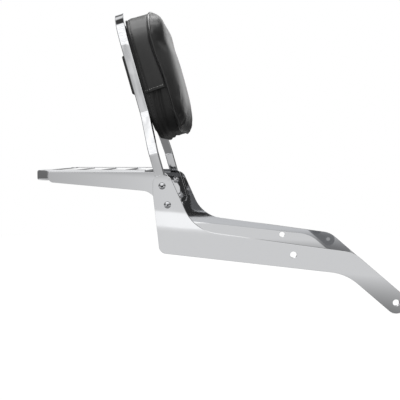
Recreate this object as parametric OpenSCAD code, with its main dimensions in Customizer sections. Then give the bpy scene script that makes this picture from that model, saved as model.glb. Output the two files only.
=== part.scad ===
// Backrest hoop with a sewn pad and a small luggage rack, carried by two long side plates.
// Frame: +X forward, +Y to the left, +Z up, millimetres.
// Origin: on the centre plane, on the axis through the two front mounting holes.

/* [Side plates] */
// Width over the two side plates
frame_w = 250; // [220:1:290]
// Thickness of each side plate
plate_t = 5; // [3.5:0.5:8]
// Upper hoop bolt, forward of the front mounting hole
post_x = -166; // [-190:1:-150]
// Upper hoop bolt, above the front mounting hole
post_z = 86.5; // [78:0.5:105]
// Metal above the upper hoop bolt
ear_h = 13.4; // [11:0.2:18]
// Metal behind the upper hoop bolt
ear_back = 11.8; // [10:0.2:16]
// Metal in front of the upper hoop bolt, at the top edge
ear_front = 9.4; // [8:0.2:14]
// Arm height above the front mounting hole
arm_top = 13.3; // [11:0.2:18]
// Arm depth below the front mounting hole
arm_bottom = 17; // [12:0.5:22]
// Rear mounting hole of the arm, forward of the front one
tail_x = 129; // [105:1:145]
// Rear mounting hole of the arm, above the front one
tail_z = -60; // [-75:1:-45]
// Metal round that hole
tail_r = 13.5; // [11:0.5:17]
// Diameter of the mounting holes
mount_d = 8.5; // [6.5:0.1:10.5]

/* [Hoop] */
// Side of the square bar
bar = 12; // [10:0.5:14]
// Radius on the edges of the square bar
bar_edge = 1.2; // [0.5:0.1:2]
// Backward lean of the hoop, degrees
lean = 15.8; // [10:0.1:22]
// Distance between the two bolts of a leg
bolt_pitch = 25; // [21:0.5:32]
// Leg below the lower bolt
leg_tail = 11; // [9:0.5:15]
// Upper bolt to the top of the hoop, along the leg
hoop_h = 240; // [215:1:280]
// Width over the hoop behind the pad
hoop_w = 170; // [150:1:200]
// Upper bolt to the start of the joggle
joggle_from = 40; // [34:1:50]
// Slope of the joggle, sideways over along the leg
joggle_slope = 0.75; // [0.6:0.05:1.1]
// Bend radius of the joggle, on the bar's centre line
joggle_r = 20; // [14:1:28]
// Bend radius of the top corners, on the bar's centre line
corner_r = 44; // [30:1:60]

/* [Rack] */
// Front end of the rail, forward of the front mounting hole
rail_front = -190.5; // [-205:0.5:-184]
// Length of the rail
rail_l = 145.5; // [120:0.5:180]
// Width of the rail's section
rail_t = 12; // [8:0.5:14]
// Height of the rail's section
rail_h = 14; // [11:0.5:17]
// Radius on the edges of the rail
rail_edge = 2.5; // [1:0.25:3.5]
// Rail bend radius, on its centre line
rail_r = 18; // [14:1:30]
// Top of the rail above the upper hoop bolt
rail_over = 20; // [16:0.5:24]
// Height of the rail that stands above its side plates
rail_proud = 3.1; // [1.5:0.1:5]
// Thickness of the rack's side plates
cheek_t = 5; // [3.5:0.5:7]
// Depth of a side plate at its rear end
cheek_end_h = 13; // [11:0.5:18]
// Slope of a side plate's lower edge, degrees
cheek_taper = 5; // [2:0.5:7]
// Width of a cross slat
slat_w = 17; // [12:0.5:20]
// Thickness of a cross slat
slat_t = 5; // [3:0.5:8]
// Slat top below the rail's top
slat_drop = 0.5; // [0:0.1:1.5]
// Radius on the edges of a slat
slat_edge = 1.4; // [0.4:0.1:1.4]

/* [Pad] */
// Width of the pad
pad_w = 190; // [170:1:215]
// Height of the pad, along the hoop
pad_h = 160; // [140:1:175]
// Upper hoop bolt to the pad's lower edge
pad_from = 63; // [58:1:72]
// Gap between the hoop and the pad's back
pad_gap = 1.5; // [0.5:0.5:3]
// Corner radius of the pad, seen from the front
pad_r = 34; // [24:1:44]
// Boxing, from the pad's back to its piping
boxing = 32; // [24:0.5:42]
// Rise of the pad's crowned front above the piping
crown = 17; // [8:0.5:24]
// Diameter of the piping
piping_d = 3.4; // [2.4:0.2:5]
// Sewn overlap of the boxing, above the pad's lower edge
overlap_v = 58.5; // [40:0.5:80]
// Depth of the gathers below that overlap
gather = 1.1; // [0:0.1:1.6]
// Thickness of the board in the pad's back
board_t = 5; // [4:0.5:8]
// Board smaller than the pad, on each side
board_inset = 9; // [7:0.5:14]

/* [Pad clamp] */
// Thickness of the plate behind the hoop
clamp_t = 3; // [2.6:0.1:5]
// Height of that plate
clamp_h = 53; // [45:1:65]
// Upper hoop bolt to the plate's lower edge
clamp_from = 125; // [110:1:135]
// Plate shorter than the hoop's width, at each end
clamp_inset = 5; // [2:0.5:8]
// Corner radius of that plate
clamp_r = 5; // [2:0.5:12]
// Chamfer along its upper and lower edges
clamp_edge = 1.5; // [0.3:0.1:1.8]
// Distance between the screws, across
screw_u = 116; // [90:1:122]
// Distance between the screws, along the hoop
screw_v = 28; // [22:1:34]

/* [Fasteners] */
// Thread diameter of all bolts
bolt_d = 5; // [4:0.5:6]
// Hole over thread diameter
hole_over = 0.4; // [0.2:0.1:0.8]
// Button head diameter
head_d = 9; // [8:0.1:11]
// Button head height
head_h = 2.7; // [2.3:0.1:3.4]
// Hexagon socket across flats
socket_af = 3; // [2.5:0.1:4]
// Washer diameter
washer_d = 10; // [9:0.5:12]
// Washer thickness
washer_t = 1.2; // [0.8:0.1:1.6]
// Nut across flats
nut_af = 8; // [7.5:0.5:10]
// Height of a domed nut
nut_h = 10; // [9:0.5:12]
// Diameter of a countersunk head
flush_d = 9.4; // [8:0.1:10]
// Diameter of a tee nut's flange
tee_d = 16; // [14:0.5:20]
// Thickness of a tee nut's flange
tee_t = 1.3; // [1:0.1:1.6]

/* [Hidden] */

$fn = 48;
// Clearance round the board in the pad, and round a thread
clear = 0.3;
thread_clear = 0.1;
chrome = [0.82, 0.83, 0.85];
zinc = [0.66, 0.67, 0.69];
black = [0.1, 0.1, 0.11];
vinyl = [0.16, 0.16, 0.17];

// Across the frame, from the outside in: side plate, leg, rack side plate, washer, nut
leg_out = frame_w / 2 - plate_t;
leg_in = leg_out - bar;
cheek_in = leg_in - cheek_t;
hoop_y = leg_out - bar / 2;
rail_y = cheek_in - rail_t / 2;

// Along the hoop, measured from the upper bolt
joggle_a = atan(joggle_slope);
joggle_in = hoop_y - (hoop_w / 2 - bar / 2);
joggle_run = (joggle_in - 2 * joggle_r * (1 - cos(joggle_a))) / sin(joggle_a);
joggle_h = 2 * joggle_r * sin(joggle_a) + joggle_run * cos(joggle_a);
leg_run = bolt_pitch + leg_tail + joggle_from;
upper_run = hoop_h - bar / 2 - corner_r - joggle_from - joggle_h;
cross_run = hoop_w - bar - 2 * corner_r;

// Rack levels, and slats spaced evenly inside the rail, the first one flush with its front end
rail_top = post_z + rail_over;
cheek_top = rail_top - rail_proud;
rail_rear = rail_front - rail_l;
cheek_past_bend = 3.5;
cheek_rear = rail_rear + rail_r + rail_t / 2 - cheek_past_bend;
slats = 4;
slat_pitch = (rail_l - rail_t) / slats;

hole_d = bolt_d + hole_over;

// Unit vector, and the point where two lines given by point and angle meet
function unit(v) = v / norm(v);
function dir(a) = [cos(a), sin(a)];
function meet(p, a, q, b) =
  let (d = dir(a), e = dir(b), w = q - p)
  p + d * (w[0] * e[1] - w[1] * e[0]) / (d[0] * e[1] - d[1] * e[0]);

// A point of the hoop's leaning plane, from its height v and forward offset n
function leaning(n, v) =
  [post_x + n * cos(lean) - v * sin(lean), post_z + n * sin(lean) + v * cos(lean)];

// One rounded corner between the points a and b, its radius limited by the lines' lengths
function corner_arc(a, p, b, r, steps) =
  let (
    u = unit(a - p),
    w = unit(b - p),
    half = acos(u * w) / 2,
    reach = min(r / tan(half), 0.48 * min(norm(a - p), norm(b - p))),
    r_fit = reach * tan(half),
    c = p + unit(u + w) * r_fit / sin(half),
    a0 = atan2((p + u * reach - c)[1], (p + u * reach - c)[0]),
    a1 = atan2((p + w * reach - c)[1], (p + w * reach - c)[0]),
    turn = (a1 - a0 + 540) % 360 - 180
  )
  [for (i = [0:steps]) c + r_fit * dir(a0 + turn * i / steps)];

// A closed outline, counter-clockwise, with a radius for each corner
function outline(pts, radii, steps = 10) =
  let (n = len(pts))
  [for (i = [0:n - 1])
    each corner_arc(pts[(i + n - 1) % n], pts[i], pts[(i + 1) % n], radii[i], steps)];

// Skin over equal rings of points, the first one at the bottom
module skin(rings) {
  n = len(rings[0]);
  m = len(rings);
  polyhedron(
    points = [for (r = rings) each r],
    faces = concat(
      [[for (i = [0:n - 1]) i]],
      [for (k = [0:m - 2], i = [0:n - 1])
        let (a = k * n, b = a + n, j = (i + 1) % n)
        each [[a + i, b + i, b + j], [a + i, b + j, a + j]]],
      [[for (i = [0:n - 1]) (m - 1) * n + n - 1 - i]]
    )
  );
}

// Flat plate with rounded corners, lying on Z = 0
module slab(pts, radii, t) {
  linear_extrude(t) polygon(outline(pts, radii));
}

// Corners of a rectangle about the origin
function rect(w, h) = [[-w / 2, -h / 2], [w / 2, -h / 2], [w / 2, h / 2], [-w / 2, h / 2]];

// Stands a plate drawn in X and Z upright, with its thickness from y to y + t
module upright(y, t) {
  translate([0, y + t, 0]) rotate([90, 0, 0]) children();
}

// Puts the right-hand side on the left as well
module on_side(left) {
  if (left) mirror([0, 1, 0]) children();
  else children();
}

// The hoop's own frame: X forward, Z up the leg, origin at the upper bolt
module in_lean() {
  translate([post_x, 0, post_z]) rotate([0, -lean, 0]) children();
}

// Section of a bar, w along the bend's radius and h across it
module section(w, h, edge) {
  polygon(outline(rect(w, h), [edge, edge, edge, edge], 4));
}

// Bar that runs along +Z, then carries its children on from its end
module run(l, w, h, edge) {
  linear_extrude(l) section(h, w, edge);
  translate([0, 0, l]) children();
}

// Bar that bends from +Z towards +Y, or -Y where a is negative
module bend(a, r, w, h, edge) {
  mirror([0, a < 0 ? 1 : 0, 0])
    translate([0, r, 0]) rotate([90, 0, -90])
      rotate_extrude(angle = abs(a)) translate([r, 0]) section(w, h, edge);
  translate([0, sign(a) * r * (1 - cos(a)), r * sin(abs(a))]) rotate([-a, 0, 0]) children();
}

module hoop_run(l) { run(l, bar, bar, bar_edge) children(); }
module hoop_bend(a, r) { bend(a, r, bar, bar, bar_edge) children(); }
module rail_run(l) { run(l, rail_t, rail_h, rail_edge) children(); }
module rail_bend(a, r) { bend(a, r, rail_t, rail_h, rail_edge) children(); }

// Side plate: ear for the leg at the rear, long arm to the two mounting holes. Slopes in degrees.
arm_slope = -7.6;
belly_slope = -6.1;
tail_slope = -40.5;
throat_slope = -65.9;
heel_back = 3.5;
ear_low = 8.4;
tail = [tail_x, tail_z];
heel_x = post_x - heel_back;
plate_pts = [
  [heel_x, -arm_bottom + heel_x * tan(belly_slope)],
  meet([0, -arm_bottom], belly_slope, tail + tail_r * dir(tail_slope - 90), tail_slope),
  tail + tail_r * (dir(tail_slope - 90) + dir(tail_slope)),
  tail + tail_r * (dir(tail_slope + 90) + dir(tail_slope)),
  meet([0, arm_top], arm_slope, tail + tail_r * dir(tail_slope + 90), tail_slope),
  meet([0, arm_top], arm_slope, [post_x + ear_front, post_z + ear_h], throat_slope),
  [post_x + ear_front, post_z + ear_h],
  [post_x - ear_back, post_z + ear_h],
  [post_x - ear_back, post_z - ear_low]
];
plate_radii = [10, 60, tail_r - 0.2, tail_r - 0.2, 35, 50, 12.5, 12, 40];

module side_plate() {
  difference() {
    upright(-frame_w / 2, plate_t) slab(plate_pts, plate_radii, plate_t);
    leg_holes(hole_d);
    for (p = [[0, 0], tail])
      translate([p[0], -frame_w / 2 - past, p[1]]) rotate([-90, 0, 0])
        cylinder(d = mount_d, h = plate_t + 2 * past);
  }
}

// The two bolt holes of the right leg, long enough for every layer
past = 1;
module leg_holes(d) {
  in_lean() for (v = [0, -bolt_pitch])
    translate([0, -frame_w / 2 - past, v]) rotate([-90, 0, 0])
      cylinder(d = d, h = plate_t + bar + cheek_t + 2 * past);
}

module side_plate_right() { color(chrome) side_plate(); }
module side_plate_left() { color(chrome) mirror([0, 1, 0]) side_plate(); }

// One bar, bent as a chain of runs and bends from the right leg to the left one
module hoop_bar() {
  in_lean() translate([0, -hoop_y, -bolt_pitch - leg_tail])
    hoop_run(leg_run) hoop_bend(joggle_a, joggle_r)
    hoop_run(joggle_run) hoop_bend(-joggle_a, joggle_r)
    hoop_run(upper_run) hoop_bend(90, corner_r)
    hoop_run(cross_run) hoop_bend(90, corner_r)
    hoop_run(upper_run) hoop_bend(-joggle_a, joggle_r)
    hoop_run(joggle_run) hoop_bend(joggle_a, joggle_r)
    hoop_run(leg_run) union() {}
}

module backrest_hoop() {
  color(chrome) difference() {
    hoop_bar();
    leg_holes(hole_d);
    mirror([0, 1, 0]) leg_holes(hole_d);
  }
}

// Rack: one rail bent to a U, open to the front
module rack_rail() {
  side_run = rail_l - rail_r - rail_t / 2;
  color(chrome) translate([rail_front, -rail_y, rail_top - rail_h / 2]) rotate([0, -90, 0])
    rail_run(side_run) rail_bend(90, rail_r)
    rail_run(2 * rail_y - 2 * rail_r) rail_bend(90, rail_r)
    rail_run(side_run) union() {}
}

// Flat cross slat, slat 1 at the front
module rack_slat(i) {
  span = 2 * (rail_y - rail_t / 2);
  x = rail_front - slat_w / 2 - (i - 1) * slat_pitch;
  color(chrome) translate([x, span / 2, rail_top - slat_drop - slat_t / 2]) rotate([90, 0, 0])
    linear_extrude(span) section(slat_w, slat_t, slat_edge);
}

// Tapered side plate of the rack, with a lobe for the two leg bolts
lobe_back = 14.5;
lobe_front = 9.5;
lobe_below = 11;
cheek_foot = -bolt_pitch - lobe_below;
cheek_pts = [
  [cheek_rear, cheek_top - cheek_end_h],
  meet([cheek_rear, cheek_top - cheek_end_h], -cheek_taper, leaning(-lobe_back, 0), 90 + lean),
  leaning(-lobe_back, cheek_foot),
  leaning(lobe_front, cheek_foot),
  meet([0, cheek_top], 0, leaning(lobe_front, 0), 90 + lean),
  [cheek_rear, cheek_top]
];
cheek_radii = [11, 20, 10, 9, 11, 2];

module rack_side() {
  difference() {
    upright(-leg_in, cheek_t) slab(cheek_pts, cheek_radii, cheek_t);
    leg_holes(hole_d);
  }
}

module rack_side_right() { color(chrome) rack_side(); }
module rack_side_left() { color(chrome) mirror([0, 1, 0]) rack_side(); }

// Button head screw along -Z from its seat at Z = 0, with a hexagon socket. The head has a short
// straight rim below its ball, and a small flat on top.
head_rim = 0.3;
head_flat = 0.35;
socket_deep = 1.6;
module button_screw(l) {
  ball_r = (head_d * head_d / 4 + head_h * head_h) / (2 * head_h) + head_rim;
  difference() {
    union() {
      intersection() {
        cylinder(d = head_d, h = head_h - head_flat);
        translate([0, 0, head_h - ball_r]) sphere(ball_r);
      }
      translate([0, 0, -l]) cylinder(d = bolt_d, h = l);
    }
    translate([0, 0, head_h - socket_deep]) cylinder(d = socket_af / cos(30), h = head_h, $fn = 6);
  }
}

// Countersunk screw along -Z from the top of its head at Z = 0. The head's cone also cuts its own seat,
// taken past the surface.
flush_h = (flush_d - bolt_d) / 2;
flush_socket = 1.4;
module flush_head(over = 0) {
  translate([0, 0, -flush_h]) cylinder(d1 = bolt_d, d2 = flush_d + 2 * over, h = flush_h + over);
}
module flush_screw(l) {
  difference() {
    union() {
      flush_head();
      translate([0, 0, -l]) cylinder(d = bolt_d, h = l);
    }
    translate([0, 0, -flush_socket]) cylinder(d = socket_af / cos(30), h = flush_socket + past, $fn = 6);
  }
}

module washer() {
  difference() {
    cylinder(d = washer_d, h = washer_t);
    translate([0, 0, -past]) cylinder(d = hole_d, h = washer_t + 2 * past);
  }
}

// Domed nut on Z = 0, closed at the top
nut_wall = 2.4;
thread_short = 3.4;
module dome_nut() {
  hex_h = nut_h / 2;
  dome_r = nut_af / 2 - 0.25;
  difference() {
    union() {
      intersection() {
        cylinder(d = nut_af / cos(30), h = hex_h, $fn = 6);
        cylinder(d1 = nut_af / cos(30) + 2 * hex_h + 1, d2 = nut_af, h = hex_h);
      }
      cylinder(r = dome_r, h = nut_h - dome_r);
      translate([0, 0, nut_h - dome_r]) sphere(dome_r);
    }
    translate([0, 0, -past]) cylinder(d = bolt_d + thread_clear, h = nut_h - nut_wall + past);
  }
}

// Places one of the four leg bolts: 1 and 2 right, 3 and 4 left, upper one first
module at_leg_bolt(i, y) {
  on_side(i > 2) in_lean()
    translate([0, -y, i % 2 == 1 ? 0 : -bolt_pitch]) rotate([90, 0, 0]) children();
}

bolt_grip = plate_t + bar + cheek_t + washer_t;
module hoop_bolt(i) {
  color(chrome) at_leg_bolt(i, frame_w / 2) button_screw(bolt_grip + nut_h - thread_short);
}
module hoop_washer(i) {
  color(chrome) at_leg_bolt(i, cheek_in - washer_t) washer();
}
module hoop_dome_nut(i) {
  color(chrome) at_leg_bolt(i, cheek_in - washer_t) mirror([0, 0, 1]) dome_nut();
}

// Pad: its back lies just in front of the legs
pad_back = bar / 2 + pad_gap;
seam_n = pad_back + boxing;
board_front = bar / 2 + board_t;
pad_mid = pad_from + pad_h / 2;
overlap_mid = overlap_v - pad_h / 2;
arc_steps = 7;
inner_r = 5;
lower_marks = [-0.85, -0.7];
upper_marks = [-0.1, 0.3, 0.7];
top_marks = [-0.67, -0.33, 0, 0.33, 0.67];

// Pad outline seen from the front, grown or shrunk, as [across, up, angle] points
function pad_arc(c, a0, r) =
  [for (i = [0:arc_steps]) let (a = a0 + 90 * i / arc_steps) [c[0] + r * cos(a), c[1] + r * sin(a)]];
function pad_side(s, x, half) =
  let (
    full = pad_h / 2 - pad_r,
    marks = concat(lower_marks * full, [overlap_mid - 0.8, overlap_mid + 0.8], upper_marks * full),
    last = len(marks) - 1
  )
  [for (i = [0:last]) [s * x, marks[s > 0 ? i : last - i] * half / full]];
function pad_ring(inset, n, fold) =
  let (
    w = pad_w / 2 - inset,
    h = pad_h / 2 - inset,
    r = max(pad_r - inset, inner_r),
    half = h - r
  )
  [for (p = concat(
      pad_side(1, w, half),
      pad_arc([w - r, h - r], 0, r),
      [for (m = top_marks) [-m * (w - r), h]],
      pad_arc([r - w, h - r], 90, r),
      pad_side(-1, w, half),
      pad_arc([r - w, r - h], 180, r),
      [for (m = top_marks) [m * (w - r), -h]],
      pad_arc([w - r, r - h], 270, r)))
    let (pull = fold * gather_at(n, p[1]))
    [n, p[0] * (1 - pull / w), p[1] * (1 - (p[1] < 0 ? pull / h : 0))]];

// Lengthwise gathers of the boxing, only below the sewn overlap
gather_pitch = 9;
gather_slant = 1.5;
function gather_at(n, v) =
  v > overlap_mid ? 0 : gather * (0.8 + 0.6 * cos((n - pad_back) * 360 / gather_pitch + v * gather_slant));

// Profile of the pad from the floor of the board's pocket, round its back to the crowned front:
// inset, height, share of gathers
boxing_steps = 9;
boxing_swell = 0.9;
back_round = 4.5;
crown_steps = 7;
crown_reach = 44;
crown_step = 1.2;
bead_in = 0.6;
bead_out = 1.3;
pad_profile = concat(
  [[board_inset - clear, board_front + clear, 0], [board_inset - clear, pad_back, 0]],
  [[back_round, pad_back, 0], [back_round * 0.3, pad_back + back_round * 0.27, 0.2]],
  [for (i = [1:boxing_steps - 1])
    let (t = i / boxing_steps)
    [-boxing_swell * sin(180 * t), pad_back + t * (boxing - piping_d / 2), min(1, 4 * t * (1 - t) + 0.2)]],
  [for (a = [-60:40:60])
    [bead_in - piping_d / 2 * cos(a) * bead_out, seam_n + piping_d / 2 * sin(a), 0]],
  [for (i = [1:crown_steps])
    let (t = i / crown_steps, s = crown_reach * (1 - cos(90 * t)))
    [s + crown_step, seam_n + crown_step + (crown - crown_step) * sin(90 * t), 0]]
);

module pad_shell() {
  skin([for (p = pad_profile) [for (q = pad_ring(p[0], p[1], p[2])) [q[0], q[1], q[2] + pad_mid]]]);
}

// Stands a plate drawn across and along the hoop on the height v, facing forward from n
module facing(n, v) {
  translate([n, 0, v]) rotate([90, 0, 90]) children();
}

// Places one of the four pad screws: 1 and 2 right, 3 and 4 left, upper one first
screw_mid = clamp_from + clamp_h / 2;
barrel_d = bolt_d + 2;
barrel_in = 0.5;
module at_pad_screw(i, n) {
  in_lean() translate([n, (i > 2 ? 1 : -1) * screw_u / 2, screw_mid + (i % 2 == 1 ? 1 : -1) * screw_v / 2])
    rotate([0, 90, 0]) children();
}

module pad_cushion() {
  color(vinyl) in_lean() pad_shell();
}

module pad_base_board() {
  r = pad_r - board_inset;
  color(black) difference() {
    in_lean() facing(bar / 2, pad_mid)
      slab(rect(pad_w - 2 * board_inset, pad_h - 2 * board_inset), [r, r, r, r], board_t);
    for (i = [1:4]) {
      at_pad_screw(i, bar / 2 - past) cylinder(d = barrel_d, h = board_t + 2 * past);
      at_pad_screw(i, board_front - tee_t) cylinder(d = tee_d + thread_clear, h = tee_t + past);
    }
  }
}

// Plate behind the hoop, with its upper and lower edges chamfered at the back
module pad_clamp_plate() {
  w = hoop_w - 2 * clamp_inset;
  h = clamp_h / 2;
  color(black) difference() {
    in_lean() intersection() {
      facing(-bar / 2 - clamp_t, screw_mid)
        slab(rect(w, clamp_h), [clamp_r, clamp_r, clamp_r, clamp_r], clamp_t);
      translate([-bar / 2, w / 2, screw_mid]) rotate([90, 0, 0]) linear_extrude(w)
        polygon([[0, -h], [0, h], [clamp_edge - clamp_t, h], [-clamp_t, h - clamp_edge],
          [-clamp_t, clamp_edge - h], [clamp_edge - clamp_t, -h]]);
    }
    for (i = [1:4]) {
      at_pad_screw(i, -bar / 2 - clamp_t - past) cylinder(d = hole_d, h = clamp_t + 2 * past);
      at_pad_screw(i, -bar / 2 - clamp_t) mirror([0, 0, 1]) flush_head(past);
    }
  }
}

// The screws' heads lie flush in the clamp plate, and a washer in front of it keeps each one in place
module pad_screw(i) {
  grip = clamp_t + bar + board_t;
  color(zinc) at_pad_screw(i, -bar / 2 - clamp_t) mirror([0, 0, 1]) flush_screw(grip);
}
module pad_washer(i) {
  color(zinc) at_pad_screw(i, -bar / 2) washer();
}
// Tee nut: barrel in the board, flange let in flush under the foam
module pad_tee_nut(i) {
  color(zinc) difference() {
    union() {
      at_pad_screw(i, bar / 2 + barrel_in) cylinder(d = barrel_d, h = board_t - barrel_in);
      at_pad_screw(i, board_front - tee_t) cylinder(d = tee_d, h = tee_t);
    }
    at_pad_screw(i, bar / 2) cylinder(d = bolt_d + thread_clear, h = board_t + past);
  }
}

side_plate_right();
side_plate_left();
backrest_hoop();
rack_rail();
for (i = [1:slats]) rack_slat(i);
rack_side_right();
rack_side_left();
for (i = [1:4]) hoop_bolt(i);
for (i = [1:4]) hoop_washer(i);
for (i = [1:4]) hoop_dome_nut(i);
pad_cushion();
pad_base_board();
pad_clamp_plate();
for (i = [1:4]) pad_screw(i);
for (i = [1:4]) pad_washer(i);
for (i = [1:4]) pad_tee_nut(i);
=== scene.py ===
# %% [markdown]
# # Backrest hoop with a sewn pad and a small luggage rack
#
# The object is a chromed hoop of square bar that leans back between two long side plates, with a black pad
# on its front and a small rack behind it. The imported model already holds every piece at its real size. Here
# each piece gets the surface that the real one has: polished chromium, zinc, powder paint and soft vinyl.

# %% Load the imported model
import math

import bpy
from mathutils import Matrix, Vector, noise


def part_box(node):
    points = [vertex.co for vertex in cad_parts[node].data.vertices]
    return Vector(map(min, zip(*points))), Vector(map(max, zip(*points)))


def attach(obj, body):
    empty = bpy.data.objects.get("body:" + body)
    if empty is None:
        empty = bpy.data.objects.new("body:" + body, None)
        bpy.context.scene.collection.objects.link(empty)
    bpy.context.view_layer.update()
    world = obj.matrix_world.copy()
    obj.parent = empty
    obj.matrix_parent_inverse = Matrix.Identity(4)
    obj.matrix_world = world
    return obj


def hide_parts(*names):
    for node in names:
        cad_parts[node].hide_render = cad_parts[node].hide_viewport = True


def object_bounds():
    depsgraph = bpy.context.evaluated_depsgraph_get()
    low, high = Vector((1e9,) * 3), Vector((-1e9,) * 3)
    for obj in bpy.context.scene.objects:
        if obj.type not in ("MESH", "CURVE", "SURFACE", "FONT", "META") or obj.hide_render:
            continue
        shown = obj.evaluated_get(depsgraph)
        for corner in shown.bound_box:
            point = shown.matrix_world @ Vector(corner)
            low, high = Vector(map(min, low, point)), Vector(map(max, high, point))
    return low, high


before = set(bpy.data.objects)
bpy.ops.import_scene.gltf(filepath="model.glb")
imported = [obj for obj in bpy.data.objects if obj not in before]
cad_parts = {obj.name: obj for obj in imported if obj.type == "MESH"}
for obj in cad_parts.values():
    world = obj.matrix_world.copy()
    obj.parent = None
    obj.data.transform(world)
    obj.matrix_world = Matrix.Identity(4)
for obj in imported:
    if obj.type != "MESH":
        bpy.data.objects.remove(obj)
cad_low, cad_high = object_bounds()
MM = 0.001
print("nodes", len(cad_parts), "size in mm", [round(v / MM, 1) for v in cad_high - cad_low])

# %% [markdown]
# ## The hoop's own frame
#
# The hoop leans back, and the pad leans with it. Thinking in tilted numbers is hard, so the pad is modelled
# upright in the hoop's own frame: X points forward out of the pad, Y across, Z up the leg, and the origin is
# at the upper leg bolt. The two bolts of one leg give both the place and the lean.


# %% Measure the lean from the leg bolts
def centre_of(node):
    low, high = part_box(node)
    return (low + high) / 2


upper_bolt = centre_of("hoop_bolt_1")
lower_bolt = centre_of("hoop_bolt_2")
lean = math.atan2(lower_bolt.x - upper_bolt.x, upper_bolt.z - lower_bolt.z)
hoop_to_row = Matrix.Translation((upper_bolt.x, 0, upper_bolt.z)) @ Matrix.Rotation(-lean, 4, "Y")
row_to_hoop = hoop_to_row.inverted()
print("lean in degrees", round(math.degrees(lean), 2))

# %% [markdown]
# ## Camera
#
# A long lens from the right-hand side, a little above the middle of the object and turned slightly to the
# rear. The distance was worked out from how much smaller the far bolts look than the near ones.

# %% Place the camera
CAMERA_AT = Vector((-0.0727, -1.1065, 0.1281))
LOOK_DOWN, TURN_LEFT = math.radians(3.45), math.radians(2.64)
LENS, FILM = 70.2, 36
scene = bpy.context.scene
bpy.ops.object.camera_add(location=CAMERA_AT, rotation=(math.radians(90) - LOOK_DOWN, 0, TURN_LEFT))
camera = bpy.context.object
camera.data.sensor_width = FILM
camera.data.lens = LENS
scene.camera = camera
scene.view_settings.view_transform = "Standard"
print("camera at", tuple(round(v, 3) for v in camera.location))

# %% [markdown]
# ## Two small helpers
#
# Modelling by operators acts on whatever is selected, so each piece starts from a clean selection. Shader
# nodes are added by one function that takes the settings, the plain values and the links of a node. Colours
# are written as the hex values of a colour picker, and turned to the linear values that light adds up in.


# %% Selection, nodes and colours
def select_only(*chosen):
    for other in bpy.context.selected_objects:
        other.select_set(False)
    for one in chosen:
        one.select_set(True)
    bpy.context.view_layer.objects.active = chosen[0]


def add_node(tree, kind, values=None, links=None, **settings):
    node = tree.nodes.new(kind)
    for name, value in settings.items():
        setattr(node, name, value)
    for socket, value in (values or {}).items():
        node.inputs[socket].default_value = value
    for socket, source in (links or {}).items():
        tree.links.new(source, node.inputs[socket])
    return node


def linear(hex_code):
    parts = [int(hex_code[i : i + 2], 16) / 255 for i in (1, 3, 5)]
    return [c / 12.92 if c <= 0.04045 else ((c + 0.055) / 1.055) ** 2.4 for c in parts] + [1.0]


def set_stops(ramp, stops):
    while len(ramp.elements) > 1:
        ramp.elements.remove(ramp.elements[-1])
    for i, (place, level) in enumerate(stops):
        stop = ramp.elements[0] if i == 0 else ramp.elements.new(place)
        stop.position = place
        stop.color = (level, level, level, 1)


print("mid grey is", round(linear("#808080")[0], 3))

# %% [markdown]
# ## Studio
#
# Chromium has no colour of its own: it shows the room. In a product studio that is a pale room with a few soft
# bands, so that each flat face reads as one clean tone and each bend as a change of tone. The room is painted
# on the sky by direction, as three strips of grey from the floor to the ceiling: the wall behind the camera,
# the wall behind the object, and the two side walls. Each strip is a list of stops, an angle above the horizon
# and a level, where 1 is white. The wall behind the camera has a white panel just under the horizon, hung a
# little askew, and everything high above it is a white softbox. The ceiling has a dark gap between two softboxes.

# %% Stops of the three walls
PANEL_TILT = math.radians(4.5)
NEAR_WALL = [
    (-9, 0.69), (-6.1, 0.69), (-5.83, 0.82), (-5.77, 1.05), (-4.74, 1.06), (-4.66, 0.69), (-2.4, 0.69),
    (-2.0, 0.53), (-1.0, 0.53), (1.0, 0.62), (7.4, 0.66), (7.7, 1.2), (9, 1.2),
]
FAR_WALL = [
    (-90, 0.5), (-20, 0.4), (-9, 0.12), (-5, 0.07), (-0.9, 0.08), (0.2, 0.95), (3, 1.0), (8, 1.1), (33, 1.1),
    (38, 0.8), (43, 0.15), (49, 0.12), (53, 0.7), (59, 0.8), (62, 0.6), (65, 0.05), (90, 0.05),
]
SIDE_WALL = [
    (-90, 0.6), (-30, 0.5), (-22, 0.3), (-16, 0.1), (-4, 0.15), (4, 0.18), (12, 0.12), (20, 0.15), (30, 0.35),
    (45, 0.5), (60, 1.0), (64, 0.7), (67, 0.07), (90, 0.07),
]
print("stops", len(NEAR_WALL), len(FAR_WALL), len(SIDE_WALL))

# %% Paint the reflected room on the sky
MIX_BY, MIX_A, MIX_B, MIX_RESULT = 0, 6, 7, 2
FAR_WALL_FROM = (0.03, 0.07)  # along X, where the far wall takes over from the side wall's greys
SIDE_SHIFT = 0.12  # the side walls stand this much nearer in front than behind
world = bpy.data.worlds.new("pale_room")
scene.world = world
world.use_nodes = True
sky = world.node_tree
sky.nodes.clear()
ray = add_node(sky, "ShaderNodeTexCoord").outputs["Generated"]
axes = add_node(sky, "ShaderNodeSeparateXYZ", links={"Vector": ray})
askew = add_node(
    sky, "ShaderNodeVectorMath", {1: (math.sin(PANEL_TILT), 0, math.cos(PANEL_TILT))}, {0: ray},
    operation="DOT_PRODUCT",
)


def wall(rise, stops):
    low, high = (math.sin(math.radians(stops[i][0])) for i in (0, -1))
    place = add_node(sky, "ShaderNodeMapRange", {"From Min": low, "From Max": high}, {"Value": rise})
    strip = add_node(sky, "ShaderNodeValToRGB", links={"Fac": place.outputs["Result"]})
    set_stops(strip.color_ramp, [((math.sin(math.radians(a)) - low) / (high - low), v) for a, v in stops])
    return strip.outputs["Color"]


def share(value, low, high):
    step = add_node(
        sky, "ShaderNodeMapRange", {"From Min": low, "From Max": high}, {"Value": value},
        interpolation_type="SMOOTHSTEP",
    )
    return step.outputs["Result"]


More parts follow.
